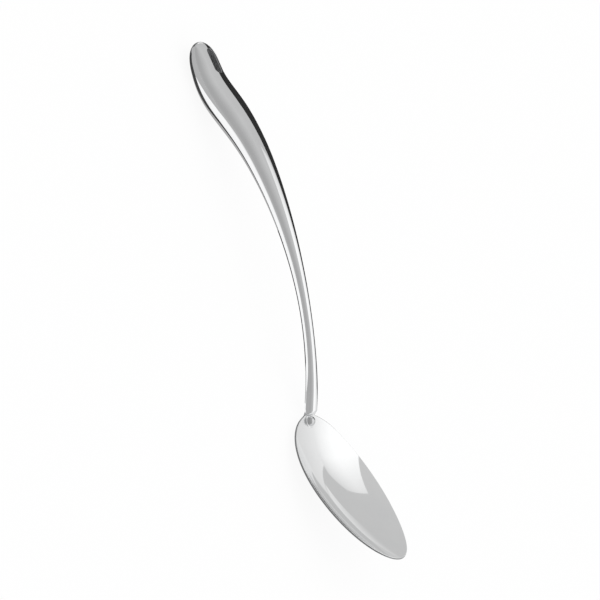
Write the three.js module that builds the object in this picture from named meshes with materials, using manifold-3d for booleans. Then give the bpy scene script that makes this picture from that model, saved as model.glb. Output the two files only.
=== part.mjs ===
// Cooking spoon with a pressed bowl, a forged stem and a hollow grip.
// Millimetres, +Z up. The spoon is drawn with its rim level, the heel of the bowl at the origin,
// the tip along +X and the grip behind the heel along -X. At the end it is laid on a table.
import * as THREE from "three";
import { mergeVertices } from "three/addons/utils/BufferGeometryUtils.js";
import Module from "manifold-3d";

// Bowl
const BOWL_LENGTH = 104;
const BOWL_WIDTH = 67;
const BOWL_DEPTH = 9;
const BOWL_SHEET = 1.2;
const HEEL_RISE = 7.2;
const HEEL_SWEEP = 6;
const TIP_RISE = 1.8;
const HEEL_FULLNESS = 0.09;
const TANG_LENGTH = 2.4;
const TANG_WIDTH = 7;
const SHOULDER_FILLET = 0.8;

// Tongue of the stem, riveted to the tang
const TONGUE_LENGTH = 6.1;
const TONGUE_WIDTH = 8.4;
const TONGUE_THICKNESS = 1.6;
const LAP_CLEARANCE = 0.3;

// Rivet
const RIVET_PLACE = 2.6;
const RIVET_SHANK = 3;
const RIVET_CLEARANCE = 0.3;
const RIVET_HEAD = 6.2;
const RIVET_HEAD_RISE = 2.2;
const RIVET_FOOT = 5;
const RIVET_FOOT_RISE = 0.8;

// Spine of stem and grip, seen from the side. Reach is measured back from the heel, BACK from the end.
const STEM_SEAT = 0.8;
const STEM_ANGLE = 46.5;
const STEM_PULL = 69;
const CREST_BACK = 50.5;
const CREST_RISE = 85.2;
const CREST_PULL = 46.5;
const TAIL_PULL = 35;
const END_REACH = 222;
const END_RISE = 95.7;
const END_ANGLE = 21;
const END_PULL = 15;

// Oval sections along the spine: their place, width across and height
const NECK_REACH = 0;
const NECK_WIDTH = 9;
const NECK_HEIGHT = 7.6;
const WAIST_REACH = 40;
const WAIST_WIDTH = 7.1;
const WAIST_HEIGHT = 6.7;
const FLARE_REACH = 76;
const FLARE_WIDTH = 9.4;
const FLARE_HEIGHT = 8.4;
const MIDDLE_REACH = 128;
const MIDDLE_WIDTH = 17.8;
const MIDDLE_HEIGHT = 13.9;
const BELLY_BACK = 38;
const BELLY_WIDTH = 27.2;
const BELLY_HEIGHT = 19.8;
const TAIL_BACK = 14;
const TAIL_WIDTH = 22.5;
const TAIL_HEIGHT = 15.9;
const END_ROUND = 12.7;
const NOSE_ROUND = 4.5;

// Hollow grip
const JOINT_REACH = 96;
const SHELL_WALL = 1;
const SEAM_GAP = 0.3;
const BUTT_GAP = 0.3;
const SPIGOT_LENGTH = 14;
const SPIGOT_CLEARANCE = 0.3;

// Hanging slot
const SLOT_BACK = 13.5;
const SLOT_LENGTH = 17;
const SLOT_WIDTH = 6.4;
const SLEEVE_WALL = 0.9;
const SLEEVE_CLEARANCE = 0.3;

// Facets
const BOWL_STEPS = 32;
const BOWL_LANES = 16;
const TANG_STEPS = 4;
const OVAL_SIDES = 24;
const STEM_STEPS = 20;
const SPIGOT_STEPS = 5;
const SHELL_STEPS = 24;
const CAP_STEPS = 7;
const ROUND_SIDES = 24;
const DOME_STEPS = 5;
const SLOT_ARC_STEPS = 8;

const wasm = await Module();
wasm.setup();

// Surfaces of the bowl

const HEEL_SLOPE = -(HEEL_SWEEP * HEEL_RISE + 4 * BOWL_DEPTH) / BOWL_LENGTH;
const CUP = (4 * BOWL_DEPTH) / BOWL_WIDTH ** 2;

// Height of the inside of the bowl on its centre line. Behind the heel it runs straight up the tang.
function floorHeight(x) {
  const share = x / BOWL_LENGTH;
  if (share < 0) return HEEL_RISE + HEEL_SLOPE * x;
  const heel = HEEL_RISE * Math.max(1 - share, 0) ** HEEL_SWEEP;
  return heel + TIP_RISE * share ** 3 - 4 * BOWL_DEPTH * share * (1 - share);
}

// Half the width of the pressed blank: an egg-shaped oval that runs into the tang through fillets.
function halfWidth(x) {
  const softened = (x + Math.hypot(x, SHOULDER_FILLET)) / 2;
  const share = Math.min(softened / BOWL_LENGTH, 1);
  const fullness = 1 + HEEL_FULLNESS * (1 - 2 * share);
  const oval = (BOWL_WIDTH * fullness) ** 2 * share * (1 - share);
  const tang = (TANG_WIDTH / 2) ** 2 * (1 - Math.max(x / BOWL_LENGTH, 0));
  return Math.sqrt(oval + tang);
}

function insideOfBowl(x, y) {
  return new THREE.Vector3(x, y, floorHeight(x) + CUP * y * y);
}

// Unit normal of the inside of the bowl, pointing up out of it.
function bowlNormal(x, y) {
  const step = 0.01;
  const slope = (floorHeight(x + step) - floorHeight(x - step)) / (2 * step);
  return new THREE.Vector3(-slope, -2 * CUP * y, 1).normalize();
}

// A point above the inside of the bowl, or below it where the lift is negative.
function aboveBowl(x, y, lift) {
  return insideOfBowl(x, y).addScaledVector(bowlNormal(x, y), lift);
}

// Spine and sections of stem and grip

function sidePoint(x, z) {
  return new THREE.Vector3(x, 0, z);
}

function backwards(degrees, length) {
  const angle = THREE.MathUtils.degToRad(degrees);
  return sidePoint(-Math.cos(angle) * length, Math.sin(angle) * length);
}

const stemRoot = aboveBowl(0, 0, STEM_SEAT);
const crest = sidePoint(CREST_BACK - END_REACH, CREST_RISE);
const gripEnd = sidePoint(-END_REACH, END_RISE);
const spine = new THREE.CurvePath();
spine.add(new THREE.CubicBezierCurve3(
  stemRoot,
  stemRoot.clone().add(backwards(STEM_ANGLE, STEM_PULL)),
  crest.clone().sub(backwards(0, CREST_PULL)),
  crest,
));
spine.add(new THREE.CubicBezierCurve3(
  crest,
  crest.clone().add(backwards(0, TAIL_PULL)),
  gripEnd.clone().sub(backwards(END_ANGLE, END_PULL)),
  gripEnd,
));

const bellyReach = END_REACH - BELLY_BACK;
const tailReach = END_REACH - TAIL_BACK;
const sections = new THREE.CubicInterpolant(
  [NECK_REACH, WAIST_REACH, FLARE_REACH, MIDDLE_REACH, bellyReach, tailReach],
  [
    NECK_WIDTH, NECK_HEIGHT, WAIST_WIDTH, WAIST_HEIGHT, FLARE_WIDTH, FLARE_HEIGHT,
    MIDDLE_WIDTH, MIDDLE_HEIGHT, BELLY_WIDTH, BELLY_HEIGHT, TAIL_WIDTH, TAIL_HEIGHT,
  ],
  2,
);

// Place along the spine, from 0 at the root to 1 at the end, that lies a given reach behind the heel.
function placeAtReach(reach) {
  let low = 0;
  let high = 1;
  for (let halving = 0; halving < 40; halving += 1) {
    const middle = (low + high) / 2;
    if (-spine.getPointAt(middle).x < reach) low = middle;
    else high = middle;
  }
  return (low + high) / 2;
}

// Spine point, the direction square to the spine and up, and the oval's half axes at a reach.
function station(reach) {
  const place = placeAtReach(reach);
  const centre = spine.getPointAt(place);
  const tangent = spine.getTangentAt(place);
  const up = new THREE.Vector3(tangent.z, 0, -tangent.x);
  const [width, height] = sections.evaluate(Math.min(reach, tailReach));
  const taper = Math.max(reach - tailReach, 0) / TAIL_BACK;
  const thinning = 1 - taper * (1 - TAIL_HEIGHT / BELLY_HEIGHT);
  return { centre, up, across: width / 2, rise: (height / 2) * thinning };
}

// Share of the full section that is left where the grip rounds off towards its end.
function endRounding(reach, round, end) {
  const into = Math.max(reach - (end - round), 0) / round;
  return Math.sqrt(Math.max(1 - into * into, 0));
}

function ovalPoint(at, angle, across, rise) {
  const point = at.centre.clone().addScaledVector(at.up, Math.sin(angle) * rise);
  point.y += Math.cos(angle) * across;
  return point;
}

// Reaches from one place to another, in even steps and then closer ones over a rounded end.
function reaches(from, to, steps, round) {
  const list = [];
  for (let step = 0; step < steps; step += 1) {
    list.push(THREE.MathUtils.lerp(from, to - round, step / steps));
  }
  for (let step = 0; step <= CAP_STEPS; step += 1) {
    list.push(to - round + round * Math.sin((step / CAP_STEPS) * Math.PI / 2));
  }
  return list;
}

// Solids from grids of points

// A geometry with shared corners, no collapsed triangles and its faces pointing out.
function closedGeometry(points, triangles) {
  const loose = new THREE.BufferGeometry().setFromPoints(points);
  loose.setIndex(triangles.flat());
  const merged = mergeVertices(loose, 1e-4);
  const index = Array.from(merged.index.array);
  const position = merged.getAttribute("position");
  const corner = (n) => new THREE.Vector3().fromBufferAttribute(position, n);
  const kept = [];
  let volume = 0;
  for (let n = 0; n < index.length; n += 3) {
    const [a, b, c] = index.slice(n, n + 3);
    if (a === b || b === c || c === a) continue;
    kept.push([a, b, c]);
    volume += corner(a).dot(corner(b).cross(corner(c)));
  }
  merged.setIndex(kept.map(([a, b, c]) => (volume > 0 ? [a, b, c] : [a, c, b])).flat());
  return merged;
}

function addQuad(triangles, a, b, c, d) {
  triangles.push([a, b, c], [a, c, d]);
}

// A sheet between two grids of points with the same rows and lanes, closed along its edges.
function sheetSolid(upper, lower) {
  const rows = upper.length;
  const lanes = upper[0].length;
  const points = [...upper.flat(), ...lower.flat()];
  const top = (row, lane) => row * lanes + lane;
  const under = (row, lane) => (rows + row) * lanes + lane;
  const triangles = [];
  for (let row = 0; row + 1 < rows; row += 1) {
    for (let lane = 0; lane + 1 < lanes; lane += 1) {
      const next = lane + 1;
      addQuad(triangles, top(row, lane), top(row + 1, lane), top(row + 1, next), top(row, next));
      addQuad(triangles, under(row, lane), under(row, next), under(row + 1, next), under(row + 1, lane));
    }
    const last = lanes - 1;
    addQuad(triangles, top(row, 0), under(row, 0), under(row + 1, 0), top(row + 1, 0));
    addQuad(triangles, top(row, last), top(row + 1, last), under(row + 1, last), under(row, last));
  }
  const end = rows - 1;
  for (let lane = 0; lane + 1 < lanes; lane += 1) {
    const next = lane + 1;
    addQuad(triangles, top(0, lane), top(0, next), under(0, next), under(0, lane));
    addQuad(triangles, top(end, lane), under(end, lane), under(end, next), top(end, next));
  }
  return closedGeometry(points, triangles);
}

// A bar through rings of points, closed by a fan at each end.
function barSolid(rings) {
  const sides = rings[0].length;
  const points = rings.flat();
  const triangles = [];
  for (let ring = 0; ring + 1 < rings.length; ring += 1) {
    for (let side = 0; side < sides; side += 1) {
      const next = (side + 1) % sides;
      const here = ring * sides;
      addQuad(triangles, here + side, here + next, here + sides + next, here + sides + side);
    }
  }
  const addFan = (ring, turned) => {
    const centre = new THREE.Vector3();
    ring.forEach((point) => centre.addScaledVector(point, 1 / sides));
    const hub = points.push(centre) - 1;
    const first = rings.indexOf(ring) * sides;
    for (let side = 0; side < sides; side += 1) {
      const next = (side + 1) % sides;
      triangles.push(turned ? [hub, first + next, first + side] : [hub, first + side, first + next]);
    }
  };
  addFan(rings[0], true);
  addFan(rings[rings.length - 1], false);
  return closedGeometry(points, triangles);
}

function ovalRing(at, across, rise) {
  const ring = [];
  for (let side = 0; side < OVAL_SIDES; side += 1) {
    ring.push(ovalPoint(at, (side / OVAL_SIDES) * 2 * Math.PI, across, rise));
  }
  return ring;
}

// Joining and cutting

function toManifold(geometry) {
  const bare = geometry.clone();
  bare.deleteAttribute("normal");
  bare.deleteAttribute("uv");
  const merged = mergeVertices(bare, 1e-4);
  return new wasm.Manifold(new wasm.Mesh({
    numProp: 3,
    vertProperties: new Float32Array(merged.getAttribute("position").array),
    triVerts: new Uint32Array(merged.index.array),
  }));
}

function fromManifold(solid) {
  const mesh = solid.getMesh();
  const geometry = new THREE.BufferGeometry();
  geometry.setAttribute("position", new THREE.BufferAttribute(mesh.vertProperties, 3));
  geometry.setIndex(new THREE.BufferAttribute(mesh.triVerts, 1));
  return geometry;
}

// Rivet: a domed head on the tongue, a shank through tongue and tang, and a low formed foot below

const rivetSeat = LAP_CLEARANCE + TONGUE_THICKNESS;

// Turns a solid of revolution drawn along +Z so that it stands on the inside of the bowl.
function standOnBowl(geometry, x, lift) {
  const upright = new THREE.Vector3(0, 0, 1);
  geometry.applyQuaternion(new THREE.Quaternion().setFromUnitVectors(upright, bowlNormal(x, 0)));
  const place = aboveBowl(x, 0, lift);
  return geometry.translate(place.x, place.y, place.z);
}

// A revolved profile given as radius and height, stood on end.
function turned(profile) {
  const outline = profile.map(([radius, height]) => new THREE.Vector2(radius, height));
  return new THREE.LatheGeometry(outline, ROUND_SIDES).rotateX(Math.PI / 2);
}

// Low dome from its edge to its crown, as radius and height.
function dome(radius, rise, base) {
  const profile = [];
  for (let step = 0; step <= DOME_STEPS; step += 1) {
    const angle = (step / DOME_STEPS) * Math.PI / 2;
    profile.push([Math.cos(angle) * radius, base + Math.sin(angle) * rise]);
  }
  profile[DOME_STEPS][0] = 0;
  return profile;
}

function rivet() {
  const headSeat = rivetSeat + RIVET_CLEARANCE;
  const footSeat = -BOWL_SHEET - RIVET_CLEARANCE;
  const foot = dome(RIVET_FOOT / 2, -RIVET_FOOT_RISE, footSeat).reverse();
  const shank = [[RIVET_SHANK / 2, footSeat], [RIVET_SHANK / 2, headSeat]];
  const head = dome(RIVET_HEAD / 2, RIVET_HEAD_RISE, headSeat);
  const geometry = standOnBowl(turned([...foot, ...shank, ...head]), RIVET_PLACE, 0);
  return fromManifold(toManifold(geometry));
}

function rivetHole() {
  const radius = RIVET_SHANK / 2 + RIVET_CLEARANCE;
  const reach = NECK_HEIGHT;
  const drill = turned([[0, -reach], [radius, -reach], [radius, reach], [0, reach]]);
  return toManifold(standOnBowl(drill, RIVET_PLACE, 0));
}

// Bowl: one pressed sheet of even thickness, with the tang left on its heel

function bowl() {
  const rows = [];
  for (let step = 0; step < TANG_STEPS; step += 1) {
    rows.push(-TANG_LENGTH * (1 - step / TANG_STEPS));
  }
  for (let step = 0; step <= BOWL_STEPS; step += 1) {
    rows.push(BOWL_LENGTH * (1 - Math.cos((step / BOWL_STEPS) * Math.PI)) / 2);
  }
  const grid = (lift) => rows.map((x, row) => {
    const half = row === rows.length - 1 ? 0 : halfWidth(x);
    return Array.from({ length: BOWL_LANES + 1 }, (_, lane) => {
      const y = half * ((2 * lane) / BOWL_LANES - 1);
      return aboveBowl(x, y, lift);
    });
  });
  const sheet = toManifold(sheetSolid(grid(0), grid(-BOWL_SHEET)));
  return fromManifold(sheet.subtract(rivetHole()));
}

// Stem: an oval bar with a rounded nose, a tongue in front of it and a spigot behind it

// Lapped part of the stem: a sheet that follows the inside of the bowl under a round-ended outline.
function tongue() {
  const round = TONGUE_WIDTH / 2;
  const back = -NOSE_ROUND;
  const rows = [];
  for (let step = 0; step < TANG_STEPS; step += 1) {
    rows.push(THREE.MathUtils.lerp(back, TONGUE_LENGTH - round, step / TANG_STEPS));
  }
  for (let step = 0; step <= CAP_STEPS; step += 1) {
    rows.push(TONGUE_LENGTH - round + round * Math.sin((step / CAP_STEPS) * Math.PI / 2));
  }
  const grid = (lift) => rows.map((x) => {
    const half = round * endRounding(x, round, TONGUE_LENGTH);
    return Array.from({ length: TANG_STEPS * 2 + 1 }, (_, lane) => {
      return aboveBowl(x, half * (lane / TANG_STEPS - 1), lift);
    });
  });
  return toManifold(sheetSolid(grid(rivetSeat), grid(0)));
}

// Room that the bowl and its tang take up under the lap, with the lap's clearance.
function lapRoom() {
  const front = TONGUE_LENGTH + TONGUE_WIDTH;
  const side = NECK_WIDTH + TONGUE_WIDTH;
  const rows = Array.from({ length: TANG_STEPS * 4 + 1 }, (_, row) => {
    return THREE.MathUtils.lerp(-TANG_LENGTH - LAP_CLEARANCE, front, row / (TANG_STEPS * 4));
  });
  const grid = (lift) => rows.map((x) => {
    return Array.from({ length: TANG_STEPS * 4 + 1 }, (_, lane) => {
      return aboveBowl(x, side * (lane / (TANG_STEPS * 2) - 1), lift);
    });
  });
  return toManifold(sheetSolid(grid(LAP_CLEARANCE), grid(-NECK_HEIGHT)));
}

function stem() {
  const rings = [];
  for (let step = 0; step <= CAP_STEPS; step += 1) {
    const reach = NOSE_ROUND * (1 - Math.sin(((CAP_STEPS - step) / CAP_STEPS) * Math.PI / 2));
    const at = station(reach);
    const share = endRounding(NOSE_ROUND - reach, NOSE_ROUND, NOSE_ROUND);
    rings.push(ovalRing(at, at.across * share, at.rise * share));
  }
  for (let step = 1; step <= STEM_STEPS; step += 1) {
    const at = station(THREE.MathUtils.lerp(NOSE_ROUND, JOINT_REACH, step / STEM_STEPS));
    rings.push(ovalRing(at, at.across, at.rise));
  }
  const joint = station(JOINT_REACH);
  const inset = SHELL_WALL + SPIGOT_CLEARANCE;
  for (let step = 0; step <= SPIGOT_STEPS; step += 1) {
    const at = station(JOINT_REACH + (SPIGOT_LENGTH * step) / SPIGOT_STEPS);
    rings.push(ovalRing(at, joint.across - inset, joint.rise - inset));
  }
  const bar = toManifold(barSolid(rings));
  return fromManifold(bar.add(tongue()).subtract(lapRoom()).subtract(rivetHole()));
}

// Grip: two pressed half shells that meet along the sides, and the sleeve of the hanging slot

// Oblong prism of the hanging slot, square to the spine, grown all round by a margin.
function slotPrism(margin) {
  const radius = SLOT_WIDTH / 2 + margin;
  const straight = SLOT_LENGTH / 2 - SLOT_WIDTH / 2;
  const outline = new THREE.Shape();
  outline.absarc(straight, 0, radius, -Math.PI / 2, Math.PI / 2);
  outline.absarc(-straight, 0, radius, Math.PI / 2, (3 * Math.PI) / 2);
  const prism = new THREE.ExtrudeGeometry(outline, {
    depth: 2 * BELLY_HEIGHT,
    bevelEnabled: false,
    curveSegments: SLOT_ARC_STEPS,
  });
  prism.translate(0, 0, -BELLY_HEIGHT);
  const at = station(END_REACH - SLOT_BACK);
  prism.rotateY(Math.atan2(at.up.x, at.up.z));
  return toManifold(prism.translate(at.centre.x, at.centre.y, at.centre.z));
}

// Outer form of the grip, solid, from a reach to its rounded end.
function gripForm(from) {
  return barSolid(reaches(from, END_REACH, SHELL_STEPS, END_ROUND).map((reach) => {
    const at = station(reach);
    const share = endRounding(reach, END_ROUND, END_REACH);
    return ovalRing(at, at.across * share, at.rise * share);
  }));
}

// One half of the grip. side is 1 for the upper half and -1 for the lower one.
function halfShell(side) {
  const from = JOINT_REACH + BUTT_GAP;
  const lanes = OVAL_SIDES / 2;
  const surface = (wall) => {
    const end = END_REACH - wall;
    const round = END_ROUND - wall;
    return reaches(from, end, SHELL_STEPS, round).map((reach) => {
      const at = station(reach);
      const share = endRounding(reach, round, end);
      return Array.from({ length: lanes + 1 }, (_, lane) => {
        const angle = side * (lane / lanes) * Math.PI;
        const point = ovalPoint(at, angle, (at.across - wall) * share, (at.rise - wall) * share);
        return point.addScaledVector(at.up, (side * SEAM_GAP) / 2);
      });
    });
  };
  const shell = toManifold(sheetSolid(surface(0), surface(SHELL_WALL)));
  return fromManifold(shell.subtract(slotPrism(SLEEVE_WALL + SLEEVE_CLEARANCE)));
}

function sleeve() {
  const wall = slotPrism(SLEEVE_WALL).subtract(slotPrism(0));
  return fromManifold(wall.intersect(toManifold(gripForm(JOINT_REACH))));
}

// Assembly

function steel(color, roughness) {
  return new THREE.MeshStandardMaterial({ color, roughness, metalness: 1 });
}

const polishedSteel = steel(0xc9cbcc, 0.08);
const pressedSteel = steel(0xd2d3d4, 0.1);
const sleeveSteel = steel(0x9a9c9e, 0.25);
const rivetSteel = steel(0xbfc1c2, 0.12);

function named(name, geometry, material) {
  geometry.computeVertexNormals();
  const mesh = new THREE.Mesh(geometry, material);
  mesh.name = name;
  return mesh;
}

const spoon = new THREE.Group();
spoon.add(
  named("bowl", bowl(), pressedSteel),
  named("stem", stem(), polishedSteel),
  named("grip_top_shell", halfShell(1), polishedSteel),
  named("grip_bottom_shell", halfShell(-1), polishedSteel),
  named("hanging_slot_sleeve", sleeve(), sleeveSteel),
  named("rivet", rivet(), rivetSteel),
);

// Lowest point of a mesh when the spoon is tipped about Y by an angle.
function lowestTipped(mesh, angle) {
  const position = mesh.geometry.getAttribute("position");
  let lowest = Infinity;
  for (let n = 0; n < position.count; n += 1) {
    const height = position.getZ(n) * Math.cos(angle) - position.getX(n) * Math.sin(angle);
    lowest = Math.min(lowest, height);
  }
  return lowest;
}

// Tips the spoon back until bowl and grip lie on the same level, as it does on a table.
function layOnTable(group) {
  const front = group.getObjectByName("bowl");
  const back = group.getObjectByName("grip_bottom_shell");
  let steep = -Math.PI / 3;
  let level = 0;
  for (let halving = 0; halving < 40; halving += 1) {
    const angle = (steep + level) / 2;
    if (lowestTipped(back, angle) > lowestTipped(front, angle)) level = angle;
    else steep = angle;
  }
  group.rotation.y = (steep + level) / 2;
  group.updateMatrixWorld(true);
  const box = new THREE.Box3().setFromObject(group, true);
  group.position.set(-(box.min.x + box.max.x) / 2, 0, -box.min.z);
  group.updateMatrixWorld(true);
}

layOnTable(spoon);

export default spoon;
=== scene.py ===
"""Cooking spoon in mirror-polished steel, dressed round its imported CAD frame.

Every form is drawn in millimetres with the heel of the bowl at the origin and the tip along +X.
Finished pieces are then laid on the table as the CAD parts lie, in metres.
"""

import logging
import math
from dataclasses import dataclass, field
from enum import Enum

import bmesh
import bpy
from bmesh.types import BMEdge, BMesh, BMLayerItem, BMVert
from mathutils import Matrix, Vector


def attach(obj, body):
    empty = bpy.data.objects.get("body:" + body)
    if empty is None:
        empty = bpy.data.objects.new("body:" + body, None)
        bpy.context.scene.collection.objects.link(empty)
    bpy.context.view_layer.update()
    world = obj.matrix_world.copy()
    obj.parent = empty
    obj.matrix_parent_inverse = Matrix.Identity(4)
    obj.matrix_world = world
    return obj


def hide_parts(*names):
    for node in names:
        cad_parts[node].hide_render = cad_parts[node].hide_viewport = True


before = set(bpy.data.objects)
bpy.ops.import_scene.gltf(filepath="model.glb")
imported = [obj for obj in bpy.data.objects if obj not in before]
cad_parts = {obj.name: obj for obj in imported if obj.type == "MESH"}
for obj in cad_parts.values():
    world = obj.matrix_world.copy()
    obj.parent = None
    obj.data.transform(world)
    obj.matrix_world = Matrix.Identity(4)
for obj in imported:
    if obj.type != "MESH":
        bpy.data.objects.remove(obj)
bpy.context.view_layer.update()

log = logging.getLogger("cooking_spoon")

MM = 0.001
# Corners of a drawing that lie this close, in millimetres, are one.
SAME_CORNER = 1e-4
# Corners of the small end of a grip half that lie this close, in millimetres, are one.
SAME_TIP = 1e-3
# A corner with a smaller measure of HandleForm.beyond lies on the handle's surface.
ON_SURFACE = 0.005
# Steps of a search that halves its range each time.
HALVINGS = 40
# Steps of a search that walks to the nearest point of the spine, and to that of the hollow.
SPINE_WALK = 4
HOLLOW_WALK = 3
# Edges that turn more than this stay sharp.
SHARP_ANGLE = math.radians(50)
# Height of the polishing lines at full strength, in metres.
LINE_HEIGHT = 0.00002


class Slot(Enum):
    """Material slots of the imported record."""

    BOWL = "bowl_steel"
    HANDLE = "handle_steel"
    SLEEVE = "sleeve_steel"
    RIVET = "rivet_steel"


class Half(Enum):
    """The two halves of the grip, each with the angle at which its arc begins."""

    TOP = 0.0
    BOTTOM = math.pi


@dataclass(frozen=True)
class RestPose:
    """How the drawn spoon lies on the table.

    Attributes:
        tilt: Turn about the cross axis, in degrees.
        shift: Move after the turn, in millimetres.
    """

    tilt: float = -20.61812709524929
    shift: tuple[float, float, float] = (71.98417292926601, 0.0, -2.4785406874414804)

    def turn(self) -> Matrix:
        """The turn alone, for directions."""
        return Matrix.Rotation(math.radians(self.tilt), 4, "Y")

    def matrix(self) -> Matrix:
        """The change from the drawing in millimetres to the table in metres."""
        return Matrix.Scale(MM, 4) @ Matrix.Translation(self.shift) @ self.turn()


class Spline:
    """A curve through pairs of place and value that bends without a jump."""

    def __init__(
        self,
        pairs: list[tuple[float, float]],
        slopes: tuple[float, float] | None = None,
    ) -> None:
        """Finds how strongly the curve bends at each pair.

        Args:
            pairs: Places in rising order with their values.
            slopes: Slopes at the two ends, or None to leave the ends unbent.
        """
        self.places = [place for place, _ in pairs]
        self.values = [value for _, value in pairs]
        gaps = [b - a for a, b in zip(self.places, self.places[1:])]
        rises = [(b - a) / gap for a, b, gap in zip(self.values, self.values[1:], gaps)]
        last = len(pairs) - 1
        lower = [0.0] * (last + 1)
        middle = [1.0] * (last + 1)
        upper = [0.0] * (last + 1)
        wanted = [0.0] * (last + 1)
        for n in range(1, last):
            lower[n] = gaps[n - 1]
            middle[n] = 2 * (gaps[n - 1] + gaps[n])
            upper[n] = gaps[n]
            wanted[n] = 6 * (rises[n] - rises[n - 1])
        if slopes is not None:
            middle[0] = 2 * gaps[0]
            upper[0] = gaps[0]
            wanted[0] = 6 * (rises[0] - slopes[0])
            lower[last] = gaps[-1]
            middle[last] = 2 * gaps[-1]
            wanted[last] = 6 * (slopes[1] - rises[-1])
        for n in range(1, last + 1):
            share = lower[n] / middle[n - 1]
            middle[n] -= share * upper[n - 1]
            wanted[n] -= share * wanted[n - 1]
        self.bends = [0.0] * (last + 1)
        self.bends[last] = wanted[last] / middle[last]
        for n in range(last - 1, -1, -1):
            self.bends[n] = (wanted[n] - upper[n] * self.bends[n + 1]) / middle[n]

    def _span(self, place: float) -> tuple[int, float, float, float]:
        """Finds the stretch of the curve that holds a place.

        Args:
            place: Place along the curve.

        Returns:
            Number and length of the stretch, and the weights of its first and second end there.
        """
        n = 0
        while n < len(self.places) - 2 and place >= self.places[n + 1]:
            n += 1
        gap = self.places[n + 1] - self.places[n]
        return n, gap, (self.places[n + 1] - place) / gap, (place - self.places[n]) / gap

    def value(self, place: float) -> float:
        """Follows the curve to a place.

        Args:
            place: Place along the curve.

        Returns:
            Value there.
        """
        n, gap, left, right = self._span(place)
        curve = (left**3 - left) * self.bends[n] + (right**3 - right) * self.bends[n + 1]
        return left * self.values[n] + right * self.values[n + 1] + curve * gap * gap / 6

    def slope(self, place: float) -> float:
        """Finds how steeply the curve rises at a place.

        Args:
            place: Place along the curve.

        Returns:
            Slope there.
        """
        n, gap, left, right = self._span(place)
        rise = (self.values[n + 1] - self.values[n]) / gap
        curve = (3 * right**2 - 1) * self.bends[n + 1] - (3 * left**2 - 1) * self.bends[n]
        return rise + curve * gap / 6


@dataclass(frozen=True)
class BowlForm:
    """The pressed shape of the bowl, in millimetres."""

    length: float = 104.0
    width: float = 67.0
    depth: float = 9.0
    sheet: float = 1.2
    heel_rise: float = 7.2
    heel_sweep: float = 6.0
    tip_rise: float = 1.8
    heel_fullness: float = 0.09
    tang_length: float = 2.4
    tang_width: float = 7.0
    tang_taper: float = 0.6
    shoulder_fillet: float = 0.8

    def floor(self, x: float) -> float:
        """Follows the centre line of the hollow.

        Args:
            x: Place along the bowl from its heel.

        Returns:
            Height of the inside on the centre line.
        """
        share = x / self.length
        if share < 0:
            slope = -(self.heel_sweep * self.heel_rise + 4 * self.depth) / self.length
            return self.heel_rise + slope * x
        heel = self.heel_rise * max(1 - share, 0.0) ** self.heel_sweep
        return heel + self.tip_rise * share**3 - 4 * self.depth * share * (1 - share)

    def half_width(self, x: float) -> float:
        """Follows the pressed outline, which runs out into the tang.

        Args:
            x: Place along the bowl from its heel.

        Returns:
            Half the width of the pressed outline.
        """
        softened = (x + math.hypot(x, self.shoulder_fillet)) / 2
        share = min(softened / self.length, 1.0)
        full = self.width * (1 + self.heel_fullness * (1 - 2 * share))
        tang = (self.tang_width / 2) ** 2 * (1 - max(x / self.length, 0.0))
        tang *= 1 - self.tang_taper * min(x / self.tang_length, 0.0) ** 2
        return math.sqrt(max(full * full * share * (1 - share) + tang, 0.0))

    def inside(self, x: float, y: float) -> Vector:
        """Point of the inside surface at a place along and across the bowl."""
        return Vector((x, y, self.floor(x) + self._cup() * y * y))

    def _cup(self) -> float:
        """How sharply the hollow curves from side to side."""
        return 4 * self.depth / self.width**2

    def normal(self, x: float, y: float) -> Vector:
        """Finds which way the inside surface faces.

        Args:
            x: Place along the bowl.
            y: Place across it.

        Returns:
            Unit direction out of the hollow.
        """
        step = 0.01
        slope = (self.floor(x + step) - self.floor(x - step)) / (2 * step)
        return Vector((-slope, -2 * self._cup() * y, 1.0)).normalized()

    def above(self, x: float, y: float, lift: float) -> Vector:
        """Point at a height over the inside surface, or below it if negative."""
        return self.inside(x, y) + self.normal(x, y) * lift

    def outline(self, turn: float) -> tuple[float, float]:
        """Walks round the pressed outline.

        Args:
            turn: Share of the way round, from the tang's end and back to it.

        Returns:
            Place along and across the bowl of that point of its outline.
        """
        angle = 2 * math.pi * turn
        whole = self.length + self.tang_length
        x = -self.tang_length + whole * (1 - math.cos(angle)) / 2
        return x, math.copysign(self.half_width(x), math.pi - angle)


@dataclass(frozen=True)
class Station:
    """One section of the handle: its middle, its upward direction and its half axes."""

    centre: Vector
    along: Vector
    up: Vector
    across: float
    rise: float


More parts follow.
